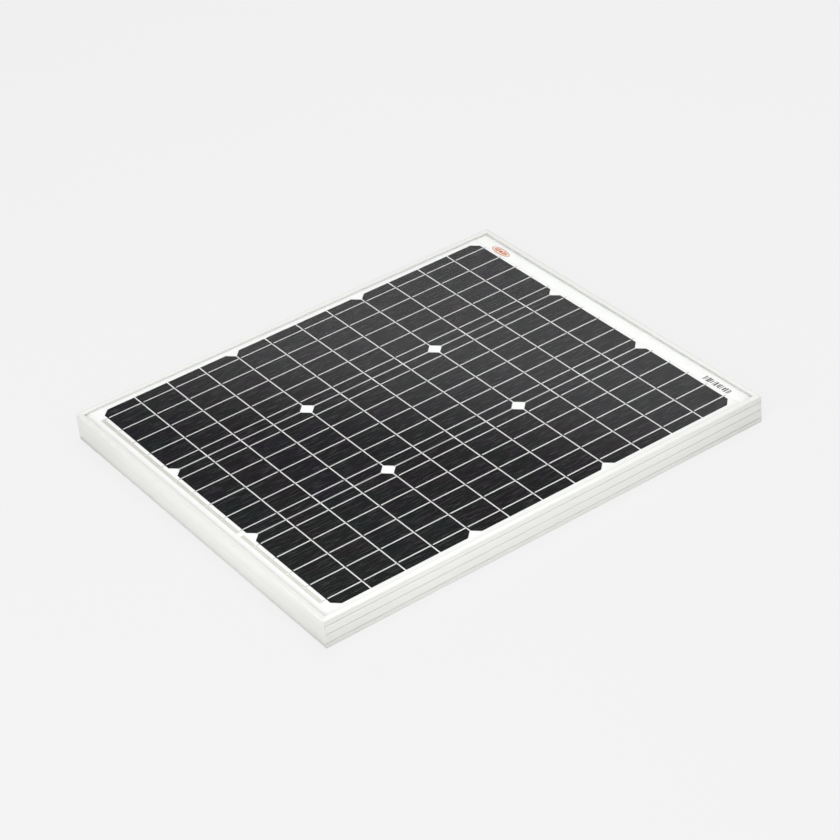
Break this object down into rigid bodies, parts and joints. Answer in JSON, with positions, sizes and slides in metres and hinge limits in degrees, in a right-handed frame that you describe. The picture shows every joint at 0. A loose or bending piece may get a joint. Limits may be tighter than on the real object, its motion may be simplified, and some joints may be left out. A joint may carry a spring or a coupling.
{
  "type": "solar panel",
  "caption": "Framed monocrystalline solar panel with grooved aluminium rails, ribboned cell strings under glass, and a rear junction box with a hinged lid.",
  "frame": {"origin": "centre of the rear mounting plane, which the frame's flanges lie in", "axes": "+X along the long side towards the junction box end, +Z out of the glass, so +Y runs along the short side towards the back rail"},
  "size_m": [0.592, 0.504, 0.035],
  "materials": {
    "frame_aluminium": "pale silver anodised, matte",
    "key_aluminium": "mill finish",
    "glass": "low-iron tempered, smooth",
    "encapsulant": "clear cured EVA",
    "silicon": "near-black monocrystalline, fine print lines",
    "tinned_ribbon": "tin-coated copper",
    "white_sheet": "white laminated film",
    "sealant": "white silicone",
    "emblem": "orange print",
    "label": "white satin label",
    "box_plastic": "black moulded, fine texture",
    "seal_rubber": "soft black rubber",
    "terminal_metal": "tinned",
    "steel": "zinc plated",
    "diode_body": "black epoxy"
  },
  "bodies": {
    "panel": {"backsheet": "white_sheet", "bus_left_pair": "tinned_ribbon", "bus_left_terminal": "tinned_ribbon", "bus_right_pair": "tinned_ribbon", "bus_right_terminal": "tinned_ribbon", "bypass_diodes": "diode_body", "cell_string_back": "silicon", "cell_string_front": "silicon", "cell_string_middle": "silicon", "code_label": "label", "corner_key_back_left": "key_aluminium", "corner_key_back_right": "key_aluminium", "corner_key_front_left": "key_aluminium", "corner_key_front_right": "key_aluminium", "cover_film": "white_sheet", "edge_sealant": "sealant", "emblem_label": "emblem", "eva_front": "encapsulant", "eva_rear": "encapsulant", "front_glass": "glass", "gland_bodies": "box_plastic", "gland_locknuts": "box_plastic", "gland_nuts": "box_plastic", "gland_seals": "seal_rubber", "jbox_adhesive": "sealant", "jbox_base": "box_plastic", "jbox_hinge_pin": "steel", "nameplate": "label", "output_lead_mid": "tinned_ribbon", "output_lead_minus": "tinned_ribbon", "output_lead_plus": "tinned_ribbon", "rail_back": "frame_aluminium", "rail_front": "frame_aluminium", "rail_left": "frame_aluminium", "rail_right": "frame_aluminium", "tab_ribbons_back": "tinned_ribbon", "tab_ribbons_front": "tinned_ribbon", "tab_ribbons_middle": "tinned_ribbon", "terminal_mid": "terminal_metal", "terminal_minus": "terminal_metal", "terminal_plus": "terminal_metal", "terminal_screws": "steel"},
    "lid": {"jbox_lid": "box_plastic", "jbox_lid_gasket": "seal_rubber"}
  },
  "joints": [
    {"name": "lid_hinge", "type": "hinge", "parent": "panel", "child": "lid", "pos_m": [0.2563, 0, 0.008], "axis": [0, -1, 0], "range_deg": [0, 110]}
  ]
}
